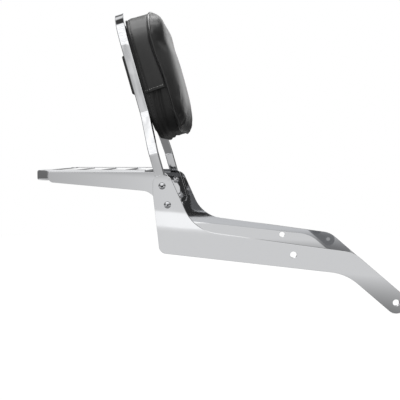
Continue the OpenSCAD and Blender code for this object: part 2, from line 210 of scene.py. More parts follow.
def mix(by, a, b):
    blend = add_node(sky, "ShaderNodeMix", links={MIX_BY: by, MIX_A: a, MIX_B: b}, data_type="RGBA")
    return blend.outputs[MIX_RESULT]


near = wall(askew.outputs["Value"], NEAR_WALL)
side = wall(axes.outputs["Z"], SIDE_WALL)
far = mix(share(axes.outputs["X"], *FAR_WALL_FROM), wall(axes.outputs["Z"], FAR_WALL), side)
shifted = add_node(sky, "ShaderNodeMath", {1: SIDE_SHIFT}, {0: axes.outputs["X"]}, operation="ADD")
sideways = add_node(sky, "ShaderNodeMath", links={0: shifted.outputs[0]}, operation="ABSOLUTE")
print("walls painted", 3)

# %% [markdown]
# Two irregularities keep the walls from looking computed. Below the horizon, the wall behind the camera darkens
# towards the rear of the object. Above it, the wall has faint clouds, like creased paper, little more than a
# degree wide. After that the three strips are joined into one room.

# %% Uneven light on the wall behind the camera
CLOUD_SIZE = math.radians(1.3)
CLOUD_LOW, CLOUD_HIGH = 0.78, 1.12
REAR_LEVEL = 0.68
CLOUDS_FROM = tuple(math.sin(math.radians(angle)) for angle in (0.5, 2.5))
NEAR_WALL_TO = (-0.18, -0.08)
SIDE_WALL_FROM = (0.36, 0.6)
fall_off = add_node(
    sky, "ShaderNodeMapRange", {"From Min": -0.26, "From Max": -0.09, "To Min": REAR_LEVEL},
    {"Value": axes.outputs["X"]},
)
clouds = add_node(sky, "ShaderNodeTexNoise", {"Scale": 1 / CLOUD_SIZE, "Detail": 3.0}, {"Vector": ray})
cloud_level = add_node(
    sky, "ShaderNodeMapRange", {"From Min": 0.38, "From Max": 0.62, "To Min": CLOUD_LOW, "To Max": CLOUD_HIGH},
    {"Value": clouds.outputs["Fac"]},
)
above = share(axes.outputs["Z"], *CLOUDS_FROM)
uneven = add_node(
    sky, "ShaderNodeMix", links={0: above, 2: fall_off.outputs["Result"], 3: cloud_level.outputs["Result"]},
    data_type="FLOAT",
)
near_lit = add_node(sky, "ShaderNodeVectorMath", links={0: near, 1: uneven.outputs[0]}, operation="MULTIPLY")
lengthwise = mix(share(axes.outputs["Y"], *NEAR_WALL_TO), near_lit.outputs["Vector"], far)
room = mix(share(sideways.outputs[0], *SIDE_WALL_FROM), lengthwise, side)
print("cloud size in degrees", round(math.degrees(CLOUD_SIZE), 1))

# %% [markdown]
# The camera itself sees plain white behind the object, glossy rays see the painted room, and all other rays
# see an even grey that lights the piece softly from everywhere. A ray that was mirrored more than once has come
# from between the two sides of the object, where little light gets in, so each further turn keeps less than half.

# %% White for the camera, the room for gloss, soft grey for light
SOFT_FILL = 0.25
KEPT_PER_TURN = 0.45
path = add_node(sky, "ShaderNodeLightPath")
turns = add_node(sky, "ShaderNodeMath", {1: 1.0}, {0: path.outputs["Glossy Depth"]}, operation="SUBTRACT")
more_turns = add_node(sky, "ShaderNodeMath", {1: 0.0}, {0: turns.outputs[0]}, operation="MAXIMUM")
kept = add_node(sky, "ShaderNodeMath", {0: KEPT_PER_TURN}, {1: more_turns.outputs[0]}, operation="POWER")
room_kept = add_node(sky, "ShaderNodeVectorMath", links={0: room, 1: kept.outputs[0]}, operation="MULTIPLY")
shiny = add_node(
    sky, "ShaderNodeMath", links={0: path.outputs["Is Glossy Ray"], 1: path.outputs["Is Transmission Ray"]},
    operation="MAXIMUM",
)
seen = add_node(
    sky, "ShaderNodeMix", {MIX_A: (SOFT_FILL, SOFT_FILL, SOFT_FILL, 1)},
    {MIX_BY: shiny.outputs[0], MIX_B: room_kept.outputs["Vector"]}, data_type="RGBA",
)
white_behind = add_node(
    sky, "ShaderNodeMix", {MIX_B: (1, 1, 1, 1)},
    {MIX_BY: path.outputs["Is Camera Ray"], MIX_A: seen.outputs[MIX_RESULT]}, data_type="RGBA",
)
background = add_node(sky, "ShaderNodeBackground", links={"Color": white_behind.outputs[MIX_RESULT]})
add_node(sky, "ShaderNodeOutputWorld", links={"Surface": background.outputs[0]})
print("soft fill", SOFT_FILL)

# %% [markdown]
# The floor is a pale disc just below the lowest point. It keeps the soft shadow, and glows for the camera so
# that it melts into the white behind. In the chromium it is darker close to the object than further out, as a
# floor is where the object itself takes the light away.

# %% Floor
FLOOR_R = 0.9
FLOOR_GAP = 0.6 * MM
FLOOR_GLOW = 0.82
FLOOR_NEAR, FLOOR_FAR = 0.22, 0.69
SHADE_FROM, SHADE_TO = 0.25, 0.5


def floor_paint():
    paint = bpy.data.materials.new("pale_floor_paint")
    paint.use_nodes = True
    tree = paint.node_tree
    tree.nodes.clear()
    way = add_node(tree, "ShaderNodeLightPath")
    matt = add_node(tree, "ShaderNodeBsdfDiffuse", {"Color": linear("#F2F2F2")})
    glow_level = add_node(
        tree, "ShaderNodeMath", {1: FLOOR_GLOW}, {0: way.outputs["Is Camera Ray"]}, operation="MULTIPLY"
    )
    glow = add_node(tree, "ShaderNodeEmission", links={"Strength": glow_level.outputs[0]})
    both = add_node(tree, "ShaderNodeAddShader", links={0: matt.outputs[0], 1: glow.outputs[0]})
    place = add_node(tree, "ShaderNodeTexCoord")
    away = add_node(tree, "ShaderNodeVectorMath", links={0: place.outputs["Object"]}, operation="LENGTH")
    level = add_node(
        tree, "ShaderNodeMapRange",
        {"From Min": SHADE_FROM, "From Max": SHADE_TO, "To Min": FLOOR_NEAR, "To Max": FLOOR_FAR},
        {"Value": away.outputs["Value"]},
    )
    mirrored = add_node(tree, "ShaderNodeEmission", links={"Strength": level.outputs["Result"]})
    shown = add_node(
        tree, "ShaderNodeMixShader",
        links={0: way.outputs["Is Glossy Ray"], 1: both.outputs[0], 2: mirrored.outputs[0]},
    )
    add_node(tree, "ShaderNodeOutputMaterial", links={"Surface": shown.outputs[0]})
    return paint


middle = (cad_low + cad_high) / 2
bpy.ops.mesh.primitive_circle_add(
    vertices=96, radius=FLOOR_R, fill_type="NGON", location=(middle.x, middle.y, cad_low.z - FLOOR_GAP)
)
floor = bpy.context.object
floor.name = "floor"
floor.data.materials.append(floor_paint())
print("floor radius in m", FLOOR_R)

# %% [markdown]
# Three soft lamps give the pad its shape: one close above it, which fades down its side, one over its top edge,
# and one far beyond it, which draws the long narrow highlight along the crown. Chromium would show each lamp as a
# hard white spot, so the lamps are linked to a collection that holds nothing but the pad's pieces.

# %% Lamps for the pad
soft_parts = bpy.data.collections.new("soft_parts")


def soft_lamp(name, at, aim, width, height, watts):
    bpy.ops.object.light_add(type="AREA", location=at)
    lamp = bpy.context.object
    lamp.name = name
    lamp.rotation_euler = (Vector(aim) - Vector(at)).to_track_quat("-Z", "Y").to_euler()
    lamp.data.shape = "RECTANGLE"
    lamp.data.size, lamp.data.size_y, lamp.data.energy = width, height, watts
    lamp.visible_camera = False
    lamp.light_linking.receiver_collection = soft_parts


PAD_MIDDLE = hoop_to_row @ Vector((0.03, 0, 0.143))
soft_lamp("lamp_above", PAD_MIDDLE + Vector((-0.09, -0.14, 0.34)), PAD_MIDDLE, 0.5, 0.4, 2.8)
soft_lamp("lamp_over_top", PAD_MIDDLE + Vector((0.14, 0.1, 0.5)), PAD_MIDDLE, 0.2, 0.3, 1.9)
soft_lamp("lamp_beyond_front", PAD_MIDDLE + Vector((0.34, 0.95, 0.42)), PAD_MIDDLE, 0.4, 0.8, 2.9)

# %% [markdown]
# ## Chromium, zinc and paint
#
# Bright chromium is plated over polished steel. The polish follows the metal's slight waves, so a reflection
# wanders by a hair, and the plating has a faint haze. Each finish starts from one function that gives a shader
# and the Object coordinates in millimetres, so that every pattern below is written at its real size: a wave
# that is 70 mm long has the scale 1 / 70.


# %% Start of a finish
def start_finish(name, colour, **values):
    finish = bpy.data.materials.new(name)
    finish.use_nodes = True
    tree = finish.node_tree
    tree.nodes.clear()
    named = {socket.title(): value for socket, value in values.items()}
    shader = add_node(tree, "ShaderNodeBsdfPrincipled", {"Base Color": linear(colour), **named})
    add_node(tree, "ShaderNodeOutputMaterial", links={"Surface": shader.outputs[0]})
    place = add_node(tree, "ShaderNodeTexCoord")
    in_mm = add_node(
        tree, "ShaderNodeMapping", {"Scale": (1 / MM, 1 / MM, 1 / MM)}, {"Vector": place.outputs["Object"]}
    )
    return finish, tree, shader, in_mm.outputs["Vector"]


print("one unit of a pattern is", MM, "m")

# %% Chromium, with faint clouds 14 mm wide in the plating
HAZE_MM = 14


def polished_metal(name, colour, roughness, haze, wave_mm, wave_depth):
    finish, tree, shader, mm = start_finish(name, colour, metallic=1.0)
    cloudy = add_node(tree, "ShaderNodeTexNoise", {"Scale": 1 / HAZE_MM, "Detail": 5.0}, {"Vector": mm})
    rough = add_node(
        tree, "ShaderNodeMapRange",
        {"From Min": 0.35, "From Max": 0.75, "To Min": roughness, "To Max": roughness + haze},
        {"Value": cloudy.outputs["Fac"]},
    )
    tree.links.new(rough.outputs["Result"], shader.inputs["Roughness"])
    waves = add_node(tree, "ShaderNodeTexNoise", {"Scale": 1 / wave_mm, "Detail": 2.0}, {"Vector": mm})
    bump = add_node(
        tree, "ShaderNodeBump", {"Strength": 1.0, "Distance": wave_depth * MM}, {"Height": waves.outputs["Fac"]}
    )
    tree.links.new(bump.outputs["Normal"], shader.inputs["Normal"])
    return finish


chrome_plate = polished_metal("chromium_on_polished_plate", "#EDEEF0", 0.015, 0.02, 70, 0.03)
chrome_bar = polished_metal("chromium_on_drawn_bar", "#EDEEF0", 0.02, 0.04, 30, 0.06)
chrome_fastener = polished_metal("chromium_on_turned_steel", "#E6E7EA", 0.07, 0.06, 6, 0.02)
print("chromium finishes", 3)

# %% [markdown]
# The pad's screws lie flush in the plate behind the hoop and are only zinc plated, which is duller and slightly
# blue. That plate is powder coated: paint baked from powder, with a fine orange peel and a soft gloss. The board
# inside the pad is plain black plastic sheet with a moulded grain.


# %% Zinc, powder coat and board
ZINC_GRAIN_MM = 2.5


def zinc_plate():
    finish, tree, shader, mm = start_finish("zinc_plated_steel", "#B9BDC1", metallic=1.0)
    grain = add_node(tree, "ShaderNodeTexNoise", {"Scale": 1 / ZINC_GRAIN_MM, "Detail": 6.0}, {"Vector": mm})
    rough = add_node(
        tree, "ShaderNodeMapRange", {"To Min": 0.24, "To Max": 0.42}, {"Value": grain.outputs["Fac"]}
    )
    tree.links.new(rough.outputs["Result"], shader.inputs["Roughness"])
    return finish


def moulded_black(name, colour, roughness, grain_mm, depth_mm):
    finish, tree, shader, mm = start_finish(name, colour, roughness=roughness)
    peel = add_node(tree, "ShaderNodeTexNoise", {"Scale": 1 / grain_mm, "Detail": 2.0}, {"Vector": mm})
    bump = add_node(
        tree, "ShaderNodeBump", {"Strength": 0.6, "Distance": depth_mm * MM}, {"Height": peel.outputs["Fac"]}
    )
    tree.links.new(bump.outputs["Normal"], shader.inputs["Normal"])
    shade = add_node(tree, "ShaderNodeValToRGB", links={"Fac": peel.outputs["Fac"]})
    low, high = linear(colour)[0] * 0.8, linear(colour)[0] * 1.25
    set_stops(shade.color_ramp, [(0.3, low), (0.7, high)])
    tree.links.new(shade.outputs["Color"], shader.inputs["Base Color"])
    return finish


zinc = zinc_plate()
powder_coat = moulded_black("black_powder_coat", "#1C1C1D", 0.38, 1.4, 0.05)
board_sheet = moulded_black("black_plastic_sheet", "#232324", 0.6, 0.9, 0.06)
print("dull finishes", 3)

# %% [markdown]
# The cover is expanded vinyl with an embossed leather grain: small soft cells with fine creases between them,
# on a foam back that lets it stretch over the filling. A real cell is about 0.9 mm wide, which is smaller than
# one pixel of the picture, so the cells are drawn a little coarser. The sheen is low and broad. One recipe gives
# three vinyls: the cover's own; a matt one for the slack boxing under the lap, whose darker colour is painted
# shade from the lap; and one for the piping, which is stretched smooth over its cord and therefore shines more,
# and whose lighter colour is a painted highlight. The threads are twisted polyester in two shades.


# %% Vinyl and thread
GRAIN_MM, STRETCH_MM = 1.5, 22


def black_vinyl(name, relief, dark, light, smooth, rough):
    finish, tree, shader, mm = start_finish(name, light)
    cells = add_node(
        tree, "ShaderNodeTexVoronoi", {"Scale": 1 / GRAIN_MM, "Randomness": 0.9}, {"Vector": mm},
        feature="DISTANCE_TO_EDGE",
    )
    crease = add_node(
        tree, "ShaderNodeMapRange", {"From Max": 0.22}, {"Value": cells.outputs["Distance"]},
        interpolation_type="SMOOTHSTEP",
    )
    stretch = add_node(tree, "ShaderNodeTexNoise", {"Scale": 1 / STRETCH_MM, "Detail": 3.0}, {"Vector": mm})
    grain = add_node(
        tree, "ShaderNodeBump", {"Strength": relief, "Distance": 0.08 * MM}, {"Height": crease.outputs["Result"]}
    )
    soft = add_node(
        tree, "ShaderNodeBump", {"Strength": relief, "Distance": 0.4 * MM},
        {"Height": stretch.outputs["Fac"], "Normal": grain.outputs["Normal"]},
    )
    tree.links.new(soft.outputs["Normal"], shader.inputs["Normal"])
    tone = add_node(tree, "ShaderNodeValToRGB", links={"Fac": stretch.outputs["Fac"]})
    set_stops(tone.color_ramp, [(0.3, linear(dark)[0]), (0.7, linear(light)[0])])
    tree.links.new(tone.outputs["Color"], shader.inputs["Base Color"])
    sheen = add_node(
        tree, "ShaderNodeMapRange", {"To Min": smooth, "To Max": rough}, {"Value": stretch.outputs["Fac"]}
    )
    tree.links.new(sheen.outputs["Result"], shader.inputs["Roughness"])
    return finish


def twisted_thread(name, colour):
    finish, tree, shader, mm = start_finish(name, colour, roughness=0.6)
    twist = add_node(
        tree, "ShaderNodeTexWave", {"Scale": 0.9, "Distortion": 1.0}, {"Vector": mm}, bands_direction="DIAGONAL"
    )
    bump = add_node(
        tree, "ShaderNodeBump", {"Strength": 0.5, "Distance": 0.08 * MM}, {"Height": twist.outputs["Fac"]}
    )
    tree.links.new(bump.outputs["Normal"], shader.inputs["Normal"])
    return finish


vinyl = black_vinyl("embossed_black_vinyl", 0.15, "#19191A", "#1F1F20", 0.42, 0.54)
# painted shade: the matt vinyl's darker colours stand in for the shade under the lap; its higher roughness is its
# own
matt_vinyl_in_painted_shade = black_vinyl("matt_vinyl_with_painted_shade", 0.15, "#101011", "#151516", 0.62, 0.72)
# painted highlight: the piping vinyl's lighter colours stand in for the highlight along the piping; its low
# roughness is its own
cord_vinyl_painted_highlight = black_vinyl("stretched_vinyl_painted_highlight", 0.05, "#2A2A2B", "#333334", 0.2, 0.26)
grey_thread = twisted_thread("grey_polyester_thread", "#8C8C8A")
black_thread = twisted_thread("black_polyester_thread", "#3A3A3B")
print("soft finishes", 5)

# %% [markdown]
# ## Metal pieces
#
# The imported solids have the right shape, but they are loose flat triangles, and chromium shows every one of
# them. So each metal solid is copied, its points are merged, the triangles of each flat face are joined, and
# the sharp rims of the plates are rounded, because polishing always breaks an edge. Weighted normals then keep
# the flats mirror flat while the small roundings take the whole turn.


# %% Merge, round and smooth one solid
FACET_ANGLE, RIM_ANGLE, SMOOTH_ANGLE = (math.radians(angle) for angle in (0.4, 50, 32))
MERGE = 0.002 * MM


def finish_metal(node, name, finish, rim_mm=0.0):
    piece = bpy.data.objects.new(name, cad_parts[node].data.copy())
    scene.collection.objects.link(piece)
    select_only(piece)
    bpy.ops.object.mode_set(mode="EDIT")
    bpy.ops.mesh.select_all(action="SELECT")
    bpy.ops.mesh.remove_doubles(threshold=MERGE)
    bpy.ops.mesh.customdata_custom_splitnormals_clear()
    bpy.ops.mesh.dissolve_limited(angle_limit=FACET_ANGLE, delimit=set())
    bpy.ops.object.mode_set(mode="OBJECT")
    if rim_mm:
        rim = piece.modifiers.new("rim", "BEVEL")
        rim.width = rim_mm * MM
        rim.segments = 3
        rim.limit_method = "ANGLE"
        rim.angle_limit = RIM_ANGLE
        bpy.ops.object.modifier_apply(modifier="rim")
    bpy.ops.object.shade_smooth_by_angle(angle=SMOOTH_ANGLE)
    weighted = piece.modifiers.new("weighted", "WEIGHTED_NORMAL")
    weighted.keep_sharp = True
    bpy.ops.object.modifier_apply(modifier="weighted")
    piece.data.materials.clear()
    piece.data.materials.append(finish)
    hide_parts(node)
    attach(piece, "root")
    return piece


print("points closer than", MERGE, "m are merged")

# %% Every piece of metal
metal = []
for hand in ("right", "left"):
    for part, rim in (("side_plate", 0.8), ("rack_side", 1.5)):
        metal.append(finish_metal(f"{part}_{hand}", f"polished_{part}_{hand}", chrome_plate, rim))
metal.append(finish_metal("backrest_hoop", "polished_hoop", chrome_bar))
metal.append(finish_metal("rack_rail", "polished_rail", chrome_plate))
for i in range(1, 5):
    metal.append(finish_metal(f"rack_slat_{i}", f"polished_slat_{i}", chrome_plate))
    for part in ("bolt", "washer", "dome_nut"):
        metal.append(
            finish_metal(f"hoop_{part}_{i}", f"bright_{part}_{i}", chrome_fastener, 0.2)
        )
    metal.append(finish_metal(f"pad_screw_{i}", f"zinc_screw_{i}", zinc, 0.2))
    metal.append(finish_metal(f"pad_washer_{i}", f"zinc_washer_{i}", zinc, 0.15))
metal.append(finish_metal("pad_clamp_plate", "coated_clamp_plate", powder_coat, 0.4))
print("metal pieces", len(metal), "faces", sum(len(m.data.polygons) for m in metal))

# %% [markdown]
# The board in the pad's back and the tee nuts sunk in it are right as they are and only take their finish.

# %% Finishes of the hidden pieces
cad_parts["pad_base_board"].material_slots[0].material = board_sheet
for i in range(1, 5):
    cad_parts[f"pad_tee_nut_{i}"].material_slots[0].material = zinc
print("kept solids", 5)

# %% [markdown]
# ## Pad
#
# The pad is a vinyl bag over foam. Its side strip, the boxing, is sewn to the front panel over a cord, the
# piping, and stapled under the board at the back. Such a bag can be drawn by hand, but it then looks carved.
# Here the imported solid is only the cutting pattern: it is laid upright in the hoop's frame, made an even mesh
# and blown up as cloth, with its seam and its back held, so the panels swell as sewn foam does.

# %% The pad's solid, upright in the hoop's frame
PAD_W, PAD_H, PAD_R = 190 * MM, 160 * MM, 34 * MM
BOXING = 32 * MM
POCKET_EDGE = 5 * MM


def loose_copy(node, name):
    piece = bpy.data.objects.new(name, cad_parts[node].data.copy())
    scene.collection.objects.link(piece)
    piece.data.transform(row_to_hoop)
    select_only(piece)
    bpy.ops.object.mode_set(mode="EDIT")
    bpy.ops.mesh.select_all(action="SELECT")
    bpy.ops.mesh.remove_doubles(threshold=MERGE)
    bpy.ops.mesh.customdata_custom_splitnormals_clear()
    bpy.ops.object.mode_set(mode="OBJECT")
    return piece


pad = loose_copy("pad_cushion", "sewn_pad")
pad_back = min(p.co.x for p in pad.data.vertices)
pad_front = max(p.co.x for p in pad.data.vertices)
pad_mid = (min(p.co.z for p in pad.data.vertices) + max(p.co.z for p in pad.data.vertices)) / 2
seam_n = pad_back + BOXING
print("pad from", round(pad_back / MM, 1), "to", round(pad_front / MM, 1), "middle", round(pad_mid / MM, 1))

# %% [markdown]
# Two measures help with everything that follows. Seen from the front the pad is a rounded rectangle, so one
# function tells how deep a point lies inside that outline, and the other which way is outwards there.


# %% Depth inside the outline, and the way out
def past_straights(point):
    return abs(point.y) - (PAD_W / 2 - PAD_R), abs(point.z - pad_mid) - (PAD_H / 2 - PAD_R)


def inside_by(point):
    across, along = past_straights(point)
    return PAD_R - math.hypot(max(across, 0), max(along, 0)) - min(max(across, along), 0)


def outward(point):
    across, along = past_straights(point)
    if across > 0 and along > 0:
        way = Vector((0, across, along)).normalized()
    else:
        way = Vector((0, 1, 0)) if across > along else Vector((0, 0, 1))
    return Vector((0, math.copysign(way.y, point.y), math.copysign(way.z, point.z - pad_mid)))


for spot in pad.data.vertices:
    if spot.co.x < seam_n and inside_by(spot.co) > POCKET_EDGE:
        spot.co.x = pad_back
print("middle is inside by", round(inside_by(Vector((0, 0, pad_mid))) / MM, 1), "mm")

# %% [markdown]
# The pattern is cut a little small, since pressure will fill it out, and remeshed to even squares of 4 mm,
# because cloth needs springs of one length. The row along the piping and the whole back are pinned.
# Twenty frames of pressure without gravity are enough. How far a point may move is capped, as real vinyl
# stretches only a little, and two subdivisions then give a mesh fine enough for folds.

# %% Blow up the bag
VOXEL = 4 * MM
CROWN_CUT = 0.9
CROWN_FULL = 0.8
SIDE_CUT = 0.3 * MM
CAP_CROWN, CAP_SIDE = 3.8 * MM, 2.2 * MM
PRESSURE = 4.0
FRAMES = 20
for spot in pad.data.vertices:
    if spot.co.x > seam_n:
        rise = (spot.co.x - seam_n) / (pad_front - seam_n)
        spot.co.x = seam_n + (pad_front - seam_n) * CROWN_CUT * rise**CROWN_FULL
    elif spot.co.x > pad_back + 2 * MM:
        spot.co -= outward(spot.co) * SIDE_CUT
even = pad.modifiers.new("even", "REMESH")
even.mode = "VOXEL"
even.voxel_size = VOXEL
select_only(pad)
bpy.ops.object.modifier_apply(modifier="even")
cut_shape = [p.co.copy() for p in pad.data.vertices]
held = pad.vertex_groups.new(name="sewn_or_stapled")
on_seam = [abs(p.x - seam_n) < VOXEL * 0.55 for p in cut_shape]
on_back = [p.x < pad_back + 1.5 * MM for p in cut_shape]
held.add([i for i in range(len(cut_shape)) if on_seam[i] or on_back[i]], 1.0, "REPLACE")
filling = pad.modifiers.new("filling", "CLOTH")
filling.settings.quality = 6
filling.settings.vertex_group_mass = "sewn_or_stapled"
filling.settings.use_pressure = True
filling.settings.uniform_pressure_force = PRESSURE
filling.settings.effector_weights.gravity = 0
for step in range(1, FRAMES + 1):
    scene.frame_set(step)
bpy.ops.object.modifier_apply(modifier="filling")
scene.frame_set(1)
moved = [(p.co - start).length for p, start in zip(pad.data.vertices, cut_shape)]
for spot, start, way in zip(pad.data.vertices, cut_shape, moved):
    cap = CAP_CROWN if start.x > seam_n else CAP_SIDE
    if way > cap:
        spot.co = start + (spot.co - start) * (cap / way)
fine = pad.modifiers.new("fine", "SUBSURF")
fine.levels = fine.render_levels = 2
bpy.ops.object.modifier_apply(modifier="fine")
front_now = max(p.co.x for p in pad.data.vertices)
print("cloth moved up to", round(max(moved) / MM, 1), "mm, front at", round(front_now / MM, 1))
print("pad faces", len(pad.data.polygons))

# %% [markdown]
# ## Seams and folds
#
# The upper boxing laps over the lower one on both sides, and the lower one is gathered under that lap. The lap
# has a cut edge, which a soft mesh can't draw, so the boxing is cut along two close lines with bisect first.

# %% Cut the boxing along the lap
LAP_V = 121.5 * MM
LAP_SLOPE = 0.05
LAP_GAP = 0.5 * MM


def over_lap(point):
    """Height over the sloping line of the lap."""
    return point.z - LAP_V - LAP_SLOPE * (point.x - pad_back - BOXING / 2)


def cut_across(piece, height):
    """Cuts only the faces of the boxing that lie close to the line."""
    for face in piece.data.polygons:
        at = face.center
        close = abs(over_lap(at) - height) < 8 * MM and pad_back + MM < at.x < seam_n - MM
        face.select = close and inside_by(at) < 6 * MM
    bpy.ops.object.mode_set(mode="EDIT")
    bpy.ops.mesh.bisect(plane_co=(pad_back + BOXING / 2, 0, LAP_V + height), plane_no=(-LAP_SLOPE, 0, 1))
    bpy.ops.object.mode_set(mode="OBJECT")


select_only(pad)
bpy.ops.object.mode_set(mode="EDIT")
bpy.ops.mesh.select_mode(type="FACE")
bpy.ops.mesh.select_all(action="DESELECT")
bpy.ops.object.mode_set(mode="OBJECT")
cut_across(pad, 0)
cut_across(pad, -LAP_GAP)
print("faces after the cuts", len(pad.data.polygons))

# %% [markdown]
# Folds could be sculpted with a brush, but a brush stroke can't be written down. Here each of them is a formula:
# ease climbs smoothly from 0 to 1 between two places, which need not be in rising order, and dip is a soft
# groove. One function adds up how far a point of the cover sinks: the groove beside the piping, the stitched line
# near the back, the fuller back edge, the sag of the filling at the bottom, the lap's step, two tucks below it,
# puckers round the lower piping, and a very slight unevenness of the foam.


# %% How far the seams and folds sink
def ease(x, low, high):
    t = min(max((x - low) / (high - low), 0), 1)
    return t * t * (3 - 2 * t)


def dip(x, width):
    return math.exp(-((x / width) ** 2))


STITCH_N = pad_back + 5 * MM
STITCH_DEEP, PIPING_DEEP, LAP_STEP = 0.55 * MM, 1.7 * MM, 1.3 * MM
BACK_FULL, SAG = 1.2 * MM, 2.8 * MM
PUCKER, FOAM = 0.45 * MM, 0.6 * MM
TUCKS = [(12.2, 2.0, 1.6), (18.6, 2.3, 2.2)]  # each one's place from the back, half width and depth in mm


def sink(point):
    n, v = point.x, point.z
    rim = ease(inside_by(point), 7 * MM, 2 * MM)
    on_boxing = ease(n, pad_back, pad_back + 4 * MM) * ease(n, seam_n, seam_n - 5 * MM) * rim
    depth = PIPING_DEEP * dip(n - seam_n + 1.9 * MM, 1.4 * MM) * rim
    depth += STITCH_DEEP * dip(n - STITCH_N, 1.1 * MM) * rim
    depth -= BACK_FULL * ease(n, pad_back + 15 * MM, pad_back + 3 * MM) * rim
    depth -= SAG * ease(v, 95 * MM, 65 * MM) * ease(n, pad_back + 20 * MM, pad_back + 4 * MM) * rim
    below = 1.0 if over_lap(point) < -LAP_GAP / 2 else 0.0
    depth += LAP_STEP * below * on_boxing * ease(v, 70 * MM, 100 * MM)
    drift = noise.noise(Vector((v / MM / 22, point.y / MM / 40, 3)))
    for at, width, deep in TUCKS:
        line = pad_back + (at + 1.6 * drift - 2.4 * ease(v, LAP_V, 70 * MM)) * MM
        depth += deep * MM * dip(n - line, width * MM) * below * on_boxing
    turn = math.atan2(v - pad_mid, point.y)
    pucker = math.sin(turn * 62 + 1.5 * drift) + 0.4 * math.sin(turn * 97 + 2.0)
    low_part = ease(v, 92 * MM, 72 * MM)
    near_piping = dip(n - seam_n - 5 * MM, 6 * MM) * ease(inside_by(point), 22 * MM, 4 * MM)
    depth += PUCKER * low_part * pucker * near_piping
    foam = noise.noise(Vector((n / MM / 45, point.y / MM / 55, v / MM / 48)))
    return depth + FOAM * foam * ease(n, pad_back, pad_back + 8 * MM)


print("tucks at", [at for at, width, deep in TUCKS], "mm from the back")

# %% [markdown]
# The cover is also dragged along. At the top the filling pushes it forward, so that the piping leans out there,
# and halfway up the sides it is drawn back. Between the two the crown lies a little flatter. The piping takes the
# same move later on, which is why it is a function of its own.

# %% How far the cover is dragged
PULL_TOP, PULL_SIDE, LIFT = 5.5 * MM, 4.4 * MM, 1.0 * MM
FLAT_V, FLAT_SPREAD, FLAT_DEPTH = 186 * MM, 15 * MM, 1.0 * MM


def pull(point):
    """Forward at the top, back at the sides, and slightly up at the upper edge."""
    n, v = point.x, point.z
    forward = PULL_TOP * ease(v, 178 * MM, 218 * MM) * (0.6 + 0.4 * ease(n, seam_n, seam_n + 10 * MM))
    beside = ease(abs(point.y), 58 * MM, 86 * MM) * ease(n, seam_n + 17 * MM, seam_n - 2 * MM)
    back = PULL_SIDE * ease(v, 128 * MM, 182 * MM) * beside
    back += FLAT_DEPTH * dip(v - FLAT_V, FLAT_SPREAD) * ease(n, seam_n + 3 * MM, seam_n + 14 * MM)
    lift = LIFT * ease(v, 195 * MM, 222 * MM)
    return Vector((forward - back, 0, lift)) * min(max((n - pad_back) / BOXING, 0), 1)


print("piping dragged forward at the top by", round(pull(Vector((seam_n, 0, 0.22))).x / MM, 1), "mm")

# %% [markdown]
# Both moves are worked out for every point before the first point moves, because a moved neighbour would change
# the normals. A light smoothing of the upper crown then takes out what the two leave of a ridge between them.

# %% Move the cover
CROWN_SMOOTHING = 40
moves = []
for spot in pad.data.vertices:
    level = outward(spot.co) if spot.co.x < seam_n else spot.normal
    moves.append(pull(spot.co) - level * sink(spot.co))
for spot, move in zip(pad.data.vertices, moves):
    spot.co += move
for face in pad.data.polygons:
    face.select = face.center.x > seam_n + 5 * MM and face.center.z > pad_mid
bpy.ops.object.mode_set(mode="EDIT")
bpy.ops.mesh.vertices_smooth(factor=0.5, repeat=CROWN_SMOOTHING)
bpy.ops.object.mode_set(mode="OBJECT")
print("longest move in mm", round(max(m.length for m in moves) / MM, 2))

# %% [markdown]
# ## Piping, stitches and the loose thread
#
# The piping is a cord wrapped in a strip of vinyl. A plane with its corners bevelled to the pad's radius gives
# its line, cut fine enough to follow the cover's drag. It is turned into a curve with a round bevel, then back
# into a mesh, and moved as the cover was.

# %% Piping
PIPING_R = 1.7 * MM
PIPING_IN = 0.2 * MM
piping_w, piping_h = PAD_W - 2 * PIPING_IN, PAD_H - 2 * PIPING_IN
bpy.ops.mesh.primitive_plane_add(size=1, location=(0, 0, 0))
piping = bpy.context.object
piping.name = "piping"
bpy.ops.object.mode_set(mode="EDIT")
bpy.ops.transform.resize(value=(piping_w, piping_h, 1))
bpy.ops.mesh.bevel(affect="VERTICES", offset=PAD_R - PIPING_IN, offset_type="OFFSET", segments=12)
bpy.ops.mesh.delete(type="ONLY_FACE")
bpy.ops.mesh.select_all(action="SELECT")
bpy.ops.mesh.subdivide(number_cuts=3)
bpy.ops.object.mode_set(mode="OBJECT")
bpy.ops.object.convert(target="CURVE")
piping.data.bevel_depth = PIPING_R
piping.data.bevel_resolution = 4
bpy.ops.object.convert(target="MESH")
piping.data.transform(Matrix(((0, 0, 1, seam_n), (1, 0, 0, 0), (0, 1, 0, pad_mid), (0, 0, 0, 1))))
for spot in piping.data.vertices:
    spot.co += pull(Vector((seam_n, spot.co.y, spot.co.z)))
bpy.ops.object.shade_smooth()
reach = max(p.co.y for p in piping.data.vertices)
print("piping", round(2 * PIPING_R / MM, 1), "mm thick, half width", round(reach / MM, 1))

# %% [markdown]
# Each stitch is a short fat thread that dives into the cover at both ends. It is made once, from a sphere
# drawn out to a grain of rice, and copied along a line of points that are dropped on the pad's surface.


# %% Stitches
def stitch_mesh(length, thick):
    bpy.ops.mesh.primitive_uv_sphere_add(segments=8, ring_count=6, radius=0.5, location=(0, 0, 0))
    grain = bpy.context.object
    bpy.ops.object.mode_set(mode="EDIT")
    bpy.ops.transform.resize(value=(thick, thick, length))
    bpy.ops.object.mode_set(mode="OBJECT")
    mesh = grain.data.copy()
    bpy.data.objects.remove(grain)
    return mesh


